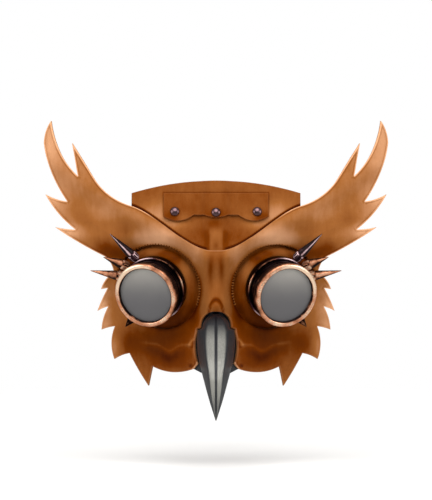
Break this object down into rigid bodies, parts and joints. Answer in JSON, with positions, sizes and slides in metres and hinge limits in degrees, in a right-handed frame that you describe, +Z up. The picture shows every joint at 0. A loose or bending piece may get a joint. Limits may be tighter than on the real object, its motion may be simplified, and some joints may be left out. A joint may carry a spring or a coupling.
{
  "type": "steampunk owl mask",
  "caption": "Moulded leather owl mask with ear tufts, feather-cut edges, sewn eye sockets with spiked copper goggles, a hooked metal beak and a head strap.",
  "frame": {"origin": "inside of the leather at the bridge of the nose, level with the eyes, where the mask sits on the wearer", "axes": "+X towards the wearer's left, +Y from the mask towards the wearer, +Z up; X = 0 is the plane of symmetry"},
  "size_m": [0.312, 0.2384, 0.2645],
  "materials": {
    "tan_leather": "smooth vegetable-tanned hide, satin, darker in the hollows",
    "strap_leather": "plain strap leather, satin",
    "gunmetal": "dark gunmetal, bright rubbed front",
    "rivet_metal": "aged grey, polished crown",
    "blackened_metal": "blackened, copper showing on the rim",
    "copper": "antique copper, rubbed bright on the edges",
    "lens": "smoked grey, opaque from outside"
  },
  "bodies": {
    "root": {"face_shell": "tan_leather", "forehead_panel": "tan_leather", "crown_tab": "tan_leather", "socket_left": "tan_leather", "socket_right": "tan_leather", "head_strap": "strap_leather", "beak": "gunmetal", "rivet_left": "rivet_metal", "rivet_centre": "rivet_metal", "rivet_right": "rivet_metal", "goggle_cup_left": "blackened_metal", "goggle_cup_right": "blackened_metal", "goggle_bezel_left": "copper", "goggle_bezel_right": "copper", "goggle_lens_left": "lens", "goggle_lens_right": "lens", "spike_upper_left": "copper", "spike_mid_left": "copper", "spike_lower_left": "copper", "spike_stub_left": "copper", "spike_upper_right": "copper", "spike_mid_right": "copper", "spike_lower_right": "copper", "spike_stub_right": "copper"}
  },
  "joints": []
}
